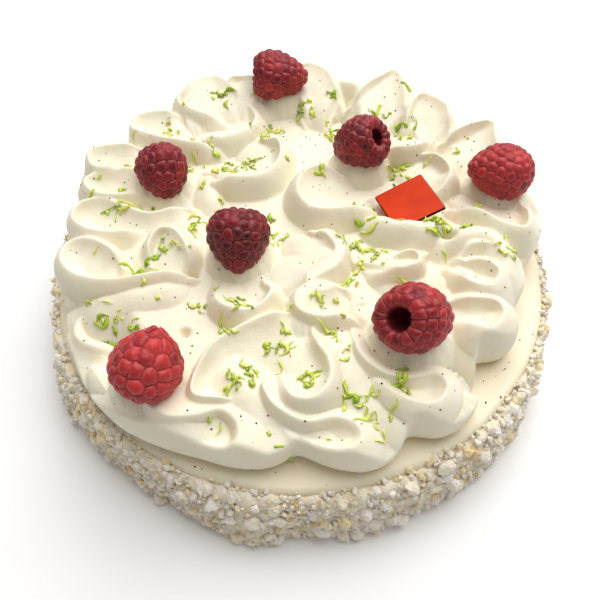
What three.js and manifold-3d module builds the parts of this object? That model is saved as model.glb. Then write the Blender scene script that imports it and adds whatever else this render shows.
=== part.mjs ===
// A round pavlova-style cake: a low iced disc, a coat of crushed meringue round its side, a field of
// vanilla cream piped over the top in winding ribbons, seven raspberries and one thin square plaque.
// Millimetres, +Z up. The origin is the centre of the flat underside.

import * as THREE from 'three';
import { mergeVertices } from 'three/addons/utils/BufferGeometryUtils.js';
import Module from 'manifold-3d';

// ---- driving dimensions ---------------------------------------------------------------------------

const GAP = 0.3; // air between two pieces that touch
const RIM_RADIUS = 90; // the iced disc
const BODY_HEIGHT = 25;
const RIM_ROUNDING = 2.5;
const BODY_SIDES = 60;
const ROUNDING_STEPS = 3;

const COAT_TOP = 23; // crushed meringue round the side
const COAT_TOP_THICKNESS = 2.6;
const COAT_FOOT_THICKNESS = 6;
const COAT_COLUMNS = 72;
const COAT_STEPS = 3; // rows of knobs from the top edge to the foot
const COAT_ROUGHNESS = 1.1;
const COAT_INNER_DROP = 1; // the inner edge lies this much below the outer one
// How much thicker or thinner the coat's foot is in each direction: degrees, millimetres.
const COAT_SWELLS = [
  [0, -3], [20, -2.4], [60, 0], [120, 0], [160, -1], [192, -2], [210, 1.4], [225, 0.4], [245, 1],
  [262, 3.2], [271, 1], [290, 3], [302, 1.8], [322, 1.6], [335, -0.6], [360, -3],
];

const CREAM_FLOOR_RADIUS = 64; // inside this the ribbons touch and no disc shows between them
const CREAM_FLOOR_HEIGHT = 14;
const CREAM_SIDES = 150;
const CREAM_RINGS = 22;
const WALL_INSETS = [3.4, 1.5, 0.5, 0]; // rings down the outer wall, measured inwards from its foot
const CREST_STEP = 0.9;
const RELAX_REACH = 4; // crest points over which a straight leg is rounded into a bend
const RIBBON_REACH = 15; // how far a ribbon's surface runs from its crest
const LEG_HOLLOW = 4.5; // depth beside a straight leg, and what a bend adds to it
const BEND_HOLLOW = 5.4;
const HOLLOW_WIDTH = 3.2;
const HOLLOW_SLOPE = 0.05;
const SHOULDER_POWER = 1.8; // 2 would be an ellipse, less falls away sooner
const EDGE_ZONE = [63, 76]; // between these radii a fold's fall grows from a part of its height to all
const INNER_FALL = 0.45;

const BERRY_SIDES = 16;
const BERRY_ROWS = 8;
const BERRY_SHOULDER = 0.74; // where a berry is widest, from tip to open end
const BERRY_LIP_TURN = 48; // degrees of arc from the shoulder to the lip
const BERRY_KNOB = 0.04; // how far a drupelet stands out, as a part of the half width
const BERRY_HOLE_RADIUS = 0.36; // of the half width
const BERRY_HOLE_DEPTH = 0.5; // of the length
const BERRY_TWIST = new THREE.Vector3(0, 0.8, 0.6); // each berry's width lies square to this
const BED_SIDES = 14;
const BED_ROWS = 6;
const BED_MARGIN = 0.9;
const BED_SWELL = 1.07;

const PLAQUE_SIDE = 18.7;
const PLAQUE_THICKNESS = 1.5;
const PLAQUE_CENTRE = new THREE.Vector3(38.9, 6.7, 46.1);
const PLAQUE_ALONG = new THREE.Vector3(16.8, 6.6, 4.9).normalize();
const PLAQUE_DOWN = new THREE.Vector3(6.5, -17.5, 1.2).normalize();

const DEGREE = Math.PI / 180;

// ---- small helpers --------------------------------------------------------------------------------

const mix = (a, b, t) => a + (b - a) * t;

function smoothStep(from, to, x) {
  const t = Math.min(1, Math.max(0, (x - from) / (to - from)));
  return t * t * (3 - 2 * t);
}

// The value at x on the straight lines between points given as [place, value].
function readLine(points, x) {
  const k = Math.min(points.length - 2, points.filter(([place]) => place <= x).length - 1);
  const [from, low] = points[k];
  const [to, high] = points[k + 1];
  return mix(low, high, (x - from) / (to - from));
}

function fromPolar(degrees, radius) {
  return new THREE.Vector2(radius * Math.cos(degrees * DEGREE), radius * Math.sin(degrees * DEGREE));
}

// A steady value in -1..1 for each whole number, so that the unevenness is the same in every build.
function unevenness(n) {
  const s = Math.sin(n * 127.1 + 11.7) * 43758.5453;
  return 2 * (s - Math.floor(s)) - 1;
}

// A closed surface from rings of equal length between two end points. Each ring runs anticlockwise
// about the way from the first point to the last.
function closeRings(startPoint, rings, endPoint) {
  const sides = rings[0].length;
  const positions = [...startPoint.toArray()];
  rings.flat().forEach((p) => positions.push(p.x, p.y, p.z));
  positions.push(...endPoint.toArray());
  const end = 1 + rings.length * sides;
  const index = [];
  for (let i = 0; i < sides; i += 1) {
    const next = (i + 1) % sides;
    index.push(0, 1 + next, 1 + i);
    for (let row = 0; row < rings.length - 1; row += 1) {
      const a = 1 + row * sides;
      const b = a + sides;
      index.push(a + i, a + next, b + next, a + i, b + next, b + i);
    }
    const last = end - sides;
    index.push(last + i, last + next, end);
  }
  const geometry = new THREE.BufferGeometry();
  geometry.setAttribute('position', new THREE.Float32BufferAttribute(positions, 3));
  geometry.setIndex(index);
  return geometry;
}

function makeMesh(name, geometry, material) {
  geometry.computeVertexNormals();
  const mesh = new THREE.Mesh(geometry, material);
  mesh.name = name;
  return mesh;
}

// ---- materials ------------------------------------------------------------------------------------

const icing = new THREE.MeshStandardMaterial({ color: 0xf4e6c4, roughness: 0.55, metalness: 0 });
const crushedMeringue = new THREE.MeshStandardMaterial({ color: 0xd9cdbb, roughness: 0.9, metalness: 0 });
const vanillaCream = new THREE.MeshStandardMaterial({ color: 0xf7efdc, roughness: 0.5, metalness: 0 });
const raspberryFlesh = new THREE.MeshStandardMaterial({ color: 0x8e2230, roughness: 0.45, metalness: 0 });
const colouredChocolate = new THREE.MeshStandardMaterial({ color: 0xd8492a, roughness: 0.35, metalness: 0 });

// ---- cutting one solid by others ------------------------------------------------------------------

const wasm = await Module();
wasm.setup();

function toSolid(geometry, matrix = new THREE.Matrix4()) {
  const bare = geometry.clone().applyMatrix4(matrix);
  bare.deleteAttribute('normal');
  bare.deleteAttribute('uv');
  const merged = mergeVertices(bare, 1e-4);
  const vertProperties = new Float32Array(merged.attributes.position.array);
  const triVerts = new Uint32Array(merged.index.array);
  return new wasm.Manifold(new wasm.Mesh({ numProp: 3, vertProperties, triVerts }));
}

function toGeometry(solid) {
  const { vertProperties, triVerts } = solid.getMesh();
  const geometry = new THREE.BufferGeometry();
  geometry.setAttribute('position', new THREE.BufferAttribute(new Float32Array(vertProperties), 3));
  geometry.setIndex(new THREE.BufferAttribute(new Uint32Array(triVerts), 1));
  return geometry;
}

// ---- iced disc ------------------------------------------------------------------------------------

function makeBody() {
  const profile = [new THREE.Vector2(0, 0), new THREE.Vector2(RIM_RADIUS, 0)];
  for (let i = 0; i <= ROUNDING_STEPS; i += 1) {
    const turn = (i / ROUNDING_STEPS) * 90 * DEGREE;
    const x = RIM_RADIUS - RIM_ROUNDING * (1 - Math.cos(turn));
    const y = BODY_HEIGHT - RIM_ROUNDING * (1 - Math.sin(turn));
    profile.push(new THREE.Vector2(x, y));
  }
  profile.push(new THREE.Vector2(0, BODY_HEIGHT));
  const geometry = new THREE.LatheGeometry(profile, BODY_SIDES);
  geometry.rotateX(90 * DEGREE);
  return makeMesh('iced_body', geometry, icing);
}

// ---- crushed meringue coat ------------------------------------------------------------------------

// One ring round the side: a plain inner wall against the body, and an outer wall that swells towards
// the foot and is knobbly all the way round, with a ragged upper edge.
function makeCoat() {
  const inner = RIM_RADIUS + GAP;
  const positions = [];
  const profileLength = COAT_STEPS + 3;
  for (let column = 0; column < COAT_COLUMNS; column += 1) {
    const turn = (column / COAT_COLUMNS) * 2 * Math.PI;
    const top = COAT_TOP + COAT_ROUGHNESS * unevenness(column);
    const foot = COAT_FOOT_THICKNESS + readLine(COAT_SWELLS, turn / DEGREE);
    const profile = [[inner, 0], [inner, top - COAT_INNER_DROP]];
    for (let step = 0; step <= COAT_STEPS; step += 1) {
      const fall = step / COAT_STEPS;
      const thickness = mix(COAT_TOP_THICKNESS, foot, Math.sqrt(fall));
      const knob = COAT_ROUGHNESS * unevenness(column * 7.3 + step * 31.7 + 5);
      profile.push([inner + thickness + knob, top * (1 - fall)]);
    }
    profile.forEach(([r, z]) => positions.push(r * Math.cos(turn), r * Math.sin(turn), z));
  }
  const index = [];
  for (let column = 0; column < COAT_COLUMNS; column += 1) {
    const here = column * profileLength;
    const there = ((column + 1) % COAT_COLUMNS) * profileLength;
    for (let i = 0; i < profileLength; i += 1) {
      const j = (i + 1) % profileLength;
      index.push(here + i, here + j, there + j, here + i, there + j, there + i);
    }
  }
  const geometry = new THREE.BufferGeometry();
  geometry.setAttribute('position', new THREE.Float32BufferAttribute(positions, 3));
  geometry.setIndex(index);
  return makeMesh('meringue_coat', geometry, crushedMeringue);
}

// ---- piped cream ----------------------------------------------------------------------------------

// Each ribbon winds in and out round the cake. A turn is a round bend: its angle about the cake's
// centre in degrees, the radius of its middle and the radius of the bend itself. Inner and outer
// turns take it in turn, and straight legs touch both bends.
const OUTER_RIBBON = {
  crestHeight: 23.5,
  slope: 8.6,
  outerTurns: [
    [231, 77.5, 6.5], [253.5, 78, 5.4], [279.5, 78, 4.5], [301, 75, 5.4], [325, 71, 5], [339, 67, 4.5],
    [349, 74.5, 3.2], [361, 78, 5], [376, 78, 4.5], [394, 83, 4], [409.5, 80, 5.4],
    [425, 84, 4], [444, 83.5, 4.5], [463, 80, 4], [483, 78.5, 7.6], [501, 80, 5.4], [515, 83, 4],
    [527, 78, 5], [539.5, 78, 5], [553, 77.5, 6.3], [571, 77.5, 4.5],
  ],
  innerTurns: [
    [219.5, 67, 4], [242.5, 66, 4.5], [264, 61, 5.4], [290, 54, 5.4], [313, 54, 4.5], [331, 56, 4],
    [344, 58, 3.6], [363, 59.5, 4], [373, 57, 3.6], [386, 56, 4.5], [402, 59.5, 4.5],
    [418, 57.5, 4.5], [435, 59.5, 4.5], [454, 57.5, 4.5], [472, 54, 4.5], [492, 56, 4.5],
    [508, 57.5, 4.5], [521, 56, 4], [533, 54, 4], [546, 54, 4], [562, 56, 4.5],
  ],
};
const MIDDLE_RIBBON = {
  crestHeight: 24.3,
  slope: 10,
  outerTurns: [
    [236, 48.5, 5.4], [271, 59.5, 5.4], [308, 45, 5.4], [334, 43, 4], [360, 45, 5.4],
    [388, 56, 6.7], [422, 45, 5.4], [452, 45, 4.5], [478, 50, 5.4], [505, 45, 4.5],
    [543, 45, 5.4], [572, 40.5, 4.5],
  ],
  innerTurns: [
    [218, 32.5, 4.5], [254, 38, 4.5], [288, 32.5, 5.4], [320, 27, 4.5], [345, 27, 4.5],
    [372, 27, 4.5], [402, 29, 4.5], [437, 27, 4.5], [465, 30.5, 4.5], [492, 30, 6.3],
    [525, 30.5, 4.5], [558, 29, 4.5],
  ],
};
const CENTRE_RIBBON = {
  crestHeight: 24.3,
  slope: 11,
  outerTurns: [[278, 33, 4.5], [395, 16, 7], [510, 20, 5.4]],
  innerTurns: [[225, 13.5, 3.6], [330, 11, 3.6], [455, 9, 3.6]],
};

// The turns of a ribbon in the order they are piped, with +1 for a left-hand bend and -1 for a right.
function listTurns(ribbon) {
  const toTurn = ([angle, radius, bend], hand) => ({ centre: fromPolar(angle, radius), bend, hand });
  return ribbon.innerTurns.flatMap((inner, k) => [toTurn(inner, -1), toTurn(ribbon.outerTurns[k], 1)]);
}

// The straight leg that touches two bends of opposite hand.
function joinTurns(from, to) {
  const apart = to.centre.clone().sub(from.centre);
  const tilt = Math.asin(Math.min(0.98, (from.bend + to.bend) / apart.length()));
  const way = apart.clone().normalize().rotateAround(new THREE.Vector2(), tilt * from.hand);
  const left = new THREE.Vector2(-way.y, way.x);
  const start = from.centre.clone().addScaledVector(left, -from.hand * from.bend);
  const end = to.centre.clone().addScaledVector(left, -to.hand * to.bend);
  return { start, end };
}

// Points along a ribbon's crest, about a step apart. hand says which way the crest bends there.
function traceCrest(ribbon, step) {
  const turns = listTurns(ribbon);
  const legs = turns.map((turn, k) => joinTurns(turn, turns[(k + 1) % turns.length]));
  const crest = [];
  turns.forEach(({ centre, bend, hand }, k) => {
    const before = legs[(k + legs.length - 1) % legs.length].end;
    const after = legs[k].start;
    const first = Math.atan2(before.y - centre.y, before.x - centre.x);
    const last = Math.atan2(after.y - centre.y, after.x - centre.x);
    const sweep = (((last - first) * hand) % (2 * Math.PI) + 2 * Math.PI) % (2 * Math.PI);
    const arcSteps = Math.max(3, Math.round((sweep * bend) / step));
    for (let i = 0; i < arcSteps; i += 1) {
      const turn = first + (hand * sweep * i) / arcSteps;
      crest.push({ x: centre.x + bend * Math.cos(turn), y: centre.y + bend * Math.sin(turn), hand });
    }
    const { start, end } = legs[k];
    const legSteps = Math.max(2, Math.round(start.distanceTo(end) / step));
    for (let i = 0; i < legSteps; i += 1) {
      const p = start.clone().lerp(end, i / legSteps);
      crest.push({ x: p.x, y: p.y, hand: 0 });
    }
  });
  return crest;
}

// A weighted mean over each point's neighbours rounds the legs into the bends.
function relaxCrest(crest, reach) {
  const count = crest.length;
  return crest.map((_, k) => {
    const sum = { x: 0, y: 0, hand: 0, weight: 0 };
    for (let offset = -2 * reach; offset <= 2 * reach; offset += 1) {
      const weight = Math.exp(-0.5 * (offset / reach) ** 2);
      const other = crest[(k + offset + count) % count];
      sum.x += weight * other.x;
      sum.y += weight * other.y;
      sum.hand += weight * other.hand;
      sum.weight += weight;
    }
    return { x: sum.x / sum.weight, y: sum.y / sum.weight, hand: sum.hand / sum.weight };
  });
}

function addDirections(crest, ribbon) {
  return crest.map((p, k) => {
    const next = crest[(k + 1) % crest.length];
    const last = crest[(k + crest.length - 1) % crest.length];
    const length = Math.hypot(next.x - last.x, next.y - last.y);
    const edge = smoothStep(...EDGE_ZONE, Math.hypot(p.x, p.y));
    return {
      ...p,
      dx: (next.x - last.x) / length,
      dy: (next.y - last.y) / length,
      height: ribbon.crestHeight,
      slope: ribbon.slope,
      fall: mix(INNER_FALL, 1, edge) * ribbon.crestHeight,
      hollow: LEG_HOLLOW + BEND_HOLLOW * Math.abs(p.hand),
    };
  });
}

const crests = [OUTER_RIBBON, MIDDLE_RIBBON, CENTRE_RIBBON].map((ribbon) =>
  addDirections(relaxCrest(traceCrest(ribbon, CREST_STEP), RELAX_REACH), ribbon));

// How far the cream lies below one crest point: a hollow that soon levels out inside a bend, and a
// rounded shoulder that falls steeply outside it.
function dropBelowCrest(p, x, y) {
  const away = Math.hypot(x - p.x, y - p.y);
  const side = (p.dx * (y - p.y) - p.dy * (x - p.x)) / Math.max(away, 1e-6);
  const inside = Math.min(1, Math.max(0, 0.5 + 0.65 * p.hand * side));
  const hollow = p.hollow * (1 - Math.exp(-away / HOLLOW_WIDTH)) + HOLLOW_SLOPE * away;
  const q = Math.min(1, away / p.slope);
  const shoulder = away >= p.slope ? 1000 : p.fall * (1 - Math.sqrt(1 - q ** SHOULDER_POWER));
  return inside * hollow + (1 - inside) * shoulder;
}

// Height of the cream above the iced disc at one place: the highest of all the ribbons there.
function creamHeight(near, x, y) {
  let height = Math.hypot(x, y) < CREAM_FLOOR_RADIUS ? CREAM_FLOOR_HEIGHT : 0;
  near.forEach((p) => {
    const away = Math.hypot(x - p.x, y - p.y);
    if (away < RIBBON_REACH) height = Math.max(height, p.height - dropBelowCrest(p, x, y));
  });
  return height;
}

const allCrestPoints = crests.flat();

// The radius at which the outermost ribbon meets the disc, in one direction from the centre.
function footRadius(turn) {
  const cos = Math.cos(turn);
  const sin = Math.sin(turn);
  const near = allCrestPoints.filter((p) =>
    Math.abs(p.y * cos - p.x * sin) < RIBBON_REACH && p.x * cos + p.y * sin > CREAM_FLOOR_RADIUS / 2);
  let radius = RIM_RADIUS - 1;
  while (radius > CREAM_FLOOR_RADIUS && creamHeight(near, radius * cos, radius * sin) <= 0) radius -= 0.2;
  return radius;
}

// One ring of the surface: a share of the way out to the foot, less a step inwards from it.
function creamRing(sides, share, inset) {
  return Array.from({ length: sides }, (_, i) => {
    const turn = (2 * Math.PI * i) / sides;
    const r = (footRadius(turn) - inset) * share;
    const x = r * Math.cos(turn);
    const y = r * Math.sin(turn);
    const height = inset > 0 ? creamHeight(allCrestPoints, x, y) : 0;
    return new THREE.Vector3(x, y, BODY_HEIGHT + GAP + height);
  });
}

// Rings that gain vertices as they grow keep every triangle about the same size. The band between two
// rings is laced from whichever ring lags behind in its turn about the centre.
function laceRings(rings, startPoint, endPoint) {
  const positions = [...startPoint.toArray()];
  const index = [];
  let base = 1;
  rings.forEach((ring, k) => {
    ring.forEach((p) => positions.push(p.x, p.y, p.z));
    const n = ring.length;
    if (k === 0) {
      for (let i = 0; i < n; i += 1) index.push(0, base + i, base + ((i + 1) % n));
    } else {
      const m = rings[k - 1].length;
      const inner = base - m;
      let i = 0;
      let j = 0;
      while (i < m || j < n) {
        const innerLags = j >= n || (i < m && (i + 0.5) / m <= (j + 0.5) / n);
        if (innerLags) {
          index.push(inner + (i % m), base + (j % n), inner + ((i + 1) % m));
          i += 1;
        } else {
          index.push(inner + (i % m), base + (j % n), base + ((j + 1) % n));
          j += 1;
        }
      }
    }
    base += n;
  });
  const last = base - rings.at(-1).length;
  const count = rings.at(-1).length;
  positions.push(...endPoint.toArray());
  for (let i = 0; i < count; i += 1) index.push(last + i, base, last + ((i + 1) % count));
  const geometry = new THREE.BufferGeometry();
  geometry.setAttribute('position', new THREE.Float32BufferAttribute(positions, 3));
  geometry.setIndex(index);
  return geometry;
}

function makeCreamSolid() {
  const rings = [];
  for (let k = 1; k <= CREAM_RINGS; k += 1) {
    const sides = Math.round((CREAM_SIDES * k) / CREAM_RINGS);
    rings.push(creamRing(sides, k / CREAM_RINGS, WALL_INSETS[0]));
  }
  WALL_INSETS.slice(1).forEach((inset) => rings.push(creamRing(CREAM_SIDES, 1, inset)));
  const top = new THREE.Vector3(0, 0, BODY_HEIGHT + GAP + creamHeight(allCrestPoints, 0, 0));
  const foot = new THREE.Vector3(0, 0, BODY_HEIGHT + GAP);
  return toSolid(laceRings(rings, top, foot));
}

// ---- raspberries ----------------------------------------------------------------------------------

// Where each berry's middle lies, its length, its width and its depth across that, how it tapers to its
// tip (from about 0.5 for a blunt one to 1 for a cone), and the way its open end faces.
const BERRIES = [
  ['raspberry_back', [-8, 72.5, 51.5], 20, 18.8, 18.8, 0.6, [-1, 0, 0.05]],
  ['raspberry_left', [-49.8, 19.6, 47.5], 16.6, 17.8, 17.8, 0.55, [-0.25, 0.8, 0.4]],
  ['raspberry_middle', [21.2, 32.2, 50.5], 18.8, 18.3, 18.3, 0.6, [0.69, -0.32, 0.64]],
  ['raspberry_right', [70.9, 18.2, 50.5], 20.8, 19.5, 19.5, 0.75, [0.93, 0.15, -0.3]],
  ['raspberry_centre', [-20.4, -15.1, 49.5], 18.5, 19.3, 19.3, 0.7, [0, 0.85, 0.5]],
  ['raspberry_front', [35.9, -44.2, 49.5], 21, 22.8, 19.5, 0.6, [-0.66, -0.45, 0.6]],
  ['raspberry_near', [-43.3, -58.8, 50.5], 18.5, 21, 20.5, 0.8, [-0.35, -0.5, -0.78]],
].map(([name, at, length, width, depth, taper, opening]) => ({
  name, at, length, width, depth, taper, opening,
}));

// Half width at a height between the tip (0) and the open end (1), for a half width of one: a power of
// a quarter sine up to the shoulder, then a slower tuck towards the lip.
function berryGirth(t, taper) {
  if (t < BERRY_SHOULDER) return Math.sin((t / BERRY_SHOULDER) * 90 * DEGREE) ** taper;
  return Math.cos(((t - BERRY_SHOULDER) / (1 - BERRY_SHOULDER)) * BERRY_LIP_TURN * DEGREE) ** 0.6;
}

function ringAt(radiusOf, z, sides) {
  return Array.from({ length: sides }, (_, i) => {
    const turn = (2 * Math.PI * i) / sides;
    const radius = radiusOf(i);
    return new THREE.Vector3(radius * Math.cos(turn), radius * Math.sin(turn), z);
  });
}

// Tip down, open end up: rows of drupelets that alternate from row to row, a rounded lip, and the
// tapering hollow that the core leaves.
function makeBerryGeometry({ length, width, taper }) {
  const half = width / 2;
  const rings = [];
  for (let row = 0; row < BERRY_ROWS; row += 1) {
    const t = (row + 0.5) / BERRY_ROWS;
    const swell = (i) => 1 + (((i + row) % 2 === 0) ? BERRY_KNOB : -BERRY_KNOB);
    rings.push(ringAt((i) => half * berryGirth(t, taper) * swell(i), length * (t - 0.5), BERRY_SIDES));
  }
  const hole = half * BERRY_HOLE_RADIUS;
  const depth = length * BERRY_HOLE_DEPTH;
  rings.push(ringAt(() => hole * 1.5, length * 0.5, BERRY_SIDES));
  rings.push(ringAt(() => hole, length * 0.45, BERRY_SIDES));
  rings.push(ringAt(() => hole * 0.6, length * 0.5 - depth * 0.8, BERRY_SIDES));
  const tip = new THREE.Vector3(0, 0, -length / 2);
  const holeEnd = new THREE.Vector3(0, 0, length / 2 - depth);
  return closeRings(tip, rings, holeEnd);
}

function placeBerry({ at, width, depth, opening }) {
  const up = new THREE.Vector3(...opening).normalize();
  const side = new THREE.Vector3().crossVectors(up, BERRY_TWIST).normalize();
  const across = new THREE.Vector3().crossVectors(up, side).multiplyScalar(depth / width);
  return new THREE.Matrix4().makeBasis(side, across, up).setPosition(...at);
}

// The bed that a berry presses into the cream: its own shape without the hollow, a little larger.
function makeBerryBed({ length, width, taper }) {
  const rings = [];
  for (let row = 0; row <= BED_ROWS; row += 1) {
    const t = (row + 0.5) / (BED_ROWS + 0.5);
    const half = (width / 2) * berryGirth(t, taper) * BED_SWELL + BED_MARGIN;
    rings.push(ringAt(() => half, (length + 2 * BED_MARGIN) * (t - 0.5), BED_SIDES));
  }
  const tip = new THREE.Vector3(0, 0, -length / 2 - BED_MARGIN);
  const end = new THREE.Vector3(0, 0, length / 2 + BED_MARGIN);
  return closeRings(tip, rings, end);
}

// ---- plaque ---------------------------------------------------------------------------------------

// A thin square plate lying tilted in the cream, its near left corner pressed in.
function placePlaque() {
  const normal = new THREE.Vector3().crossVectors(PLAQUE_DOWN, PLAQUE_ALONG).normalize();
  const across = new THREE.Vector3().crossVectors(PLAQUE_ALONG, normal);
  const place = new THREE.Matrix4().makeBasis(PLAQUE_ALONG, across.negate(), normal);
  return place.setPosition(PLAQUE_CENTRE);
}

function makePlaque() {
  const geometry = new THREE.BoxGeometry(PLAQUE_SIDE, PLAQUE_SIDE, PLAQUE_THICKNESS);
  const mesh = makeMesh('plaque', geometry, colouredChocolate);
  mesh.applyMatrix4(placePlaque());
  return mesh;
}

function makePlaqueSlot() {
  const room = 2 * GAP;
  const side = PLAQUE_SIDE + room;
  return new THREE.BoxGeometry(side, side, PLAQUE_THICKNESS + room);
}

// ---- the whole cake -------------------------------------------------------------------------------

function makeBerry(berry) {
  const mesh = makeMesh(berry.name, makeBerryGeometry(berry), raspberryFlesh);
  mesh.applyMatrix4(placeBerry(berry));
  return mesh;
}

function makeCream() {
  let solid = makeCreamSolid();
  BERRIES.forEach((berry) => {
    solid = solid.subtract(toSolid(makeBerryBed(berry), placeBerry(berry)));
  });
  solid = solid.subtract(toSolid(makePlaqueSlot(), placePlaque()));
  return makeMesh('piped_cream', toGeometry(solid), vanillaCream);
}

const cake = new THREE.Group();
cake.add(makeBody(), makeCoat(), makeCream(), makePlaque());
BERRIES.forEach((berry) => cake.add(makeBerry(berry)));

export default cake;
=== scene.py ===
# %% [markdown]
# # A round cake under piped vanilla cream
#
# The frame holds the cake as a machinist would cut it: a low disc, a knobbly ring round its side, one
# block of cream with ribbons as relief, seven berries and a thin plaque. This lesson dresses each of
# them as food: soft ribbons that fold over each other, broken meringue, berries made of drupelets, and
# the fine things strewn on top.

# %% Load the frame
import math

import bpy
import numpy as np
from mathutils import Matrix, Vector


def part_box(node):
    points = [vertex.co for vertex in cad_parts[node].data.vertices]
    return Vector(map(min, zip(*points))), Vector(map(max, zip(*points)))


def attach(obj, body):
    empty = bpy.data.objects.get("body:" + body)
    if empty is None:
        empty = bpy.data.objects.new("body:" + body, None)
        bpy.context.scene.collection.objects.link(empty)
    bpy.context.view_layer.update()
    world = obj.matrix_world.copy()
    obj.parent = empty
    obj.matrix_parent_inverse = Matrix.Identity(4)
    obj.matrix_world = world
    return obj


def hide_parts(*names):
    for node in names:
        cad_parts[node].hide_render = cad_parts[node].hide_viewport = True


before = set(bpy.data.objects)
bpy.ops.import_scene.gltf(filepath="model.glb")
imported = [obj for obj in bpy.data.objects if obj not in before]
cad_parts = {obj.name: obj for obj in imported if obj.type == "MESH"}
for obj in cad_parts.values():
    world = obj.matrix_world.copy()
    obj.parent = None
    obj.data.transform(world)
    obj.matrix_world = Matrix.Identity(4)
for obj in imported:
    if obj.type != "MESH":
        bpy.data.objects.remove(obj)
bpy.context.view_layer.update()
MM = 0.001
disc_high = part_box("iced_body")[1]
DISC_TOP = disc_high.z / MM
RIM = disc_high.x / MM
print(f"disc {RIM:.0f} mm in radius, its top {DISC_TOP:.0f} mm up")

# %% [markdown]
# ## A helper for every piece
#
# Blender keeps a mesh as a list of points and a list of faces that name those points. Every piece below
# is worked out as whole numpy arrays in millimetres, so one helper turns arrays into an object. It also
# names the finish and says that the piece rides on the cake.


# %% Arrays into an object
def add_piece(name, points, faces, material, smooth=True):
    """Makes an object from points in millimetres and faces as rows of point numbers."""
    mesh = bpy.data.meshes.new(name)
    mesh.from_pydata((np.asarray(points, float) * MM).tolist(), [], np.asarray(faces).tolist())
    mesh.polygons.foreach_set("use_smooth", np.full(len(mesh.polygons), smooth))
    mesh.materials.append(material)
    mesh.update()
    piece = bpy.data.objects.new(name, mesh)
    bpy.context.scene.collection.objects.link(piece)
    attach(piece, "root")
    corners = np.asarray(faces).shape[1]
    print(f"{name}: {len(points)} points, {len(faces) * (corners - 2)} triangles")
    return piece


def wrap_faces(rows, columns):
    """Four-cornered faces between neighbouring rows of a grid that closes on itself across its columns."""
    here = np.arange(rows * columns).reshape(rows, columns)
    right = np.roll(here, -1, axis=1)
    return np.stack([here[:-1], right[:-1], right[1:], here[1:]], axis=-1).reshape(-1, 4)


def polar(degrees, radius):
    """Points on a circle: radius times the cosine and the sine of the angle."""
    turn = np.radians(degrees)
    return np.stack([radius * np.cos(turn), radius * np.sin(turn)], axis=-1)


def ease(start, end, x):
    """Rises smoothly from 0 to 1 between start and end."""
    t = np.clip((x - start) / (end - start), 0, 1)
    return t * t * (3 - 2 * t)


def add_attribute(piece, name, values):
    """Stores one number for each point, for a material to read."""
    layer = piece.data.attributes.new(name, "FLOAT", "POINT")
    layer.data.foreach_set("value", np.asarray(values, np.float32))


# %% [markdown]
# ## Strokes of the piping bag
#
# The cream was piped with a slit nozzle that swung in and out as the cake turned. Each swing leaves a
# hook: a crest that runs along the front of the fold, rounds its end and comes back above it, with a
# pocket inside and a tall smooth wall outside. Every stroke is set down as the path of its crest, given
# as angles in degrees and radii in millimetres, always with the pocket on its left hand. Beside the path
# stand the crest's height above the disc and the reach of the outer wall, at the stroke's start, middle
# and end.

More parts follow.
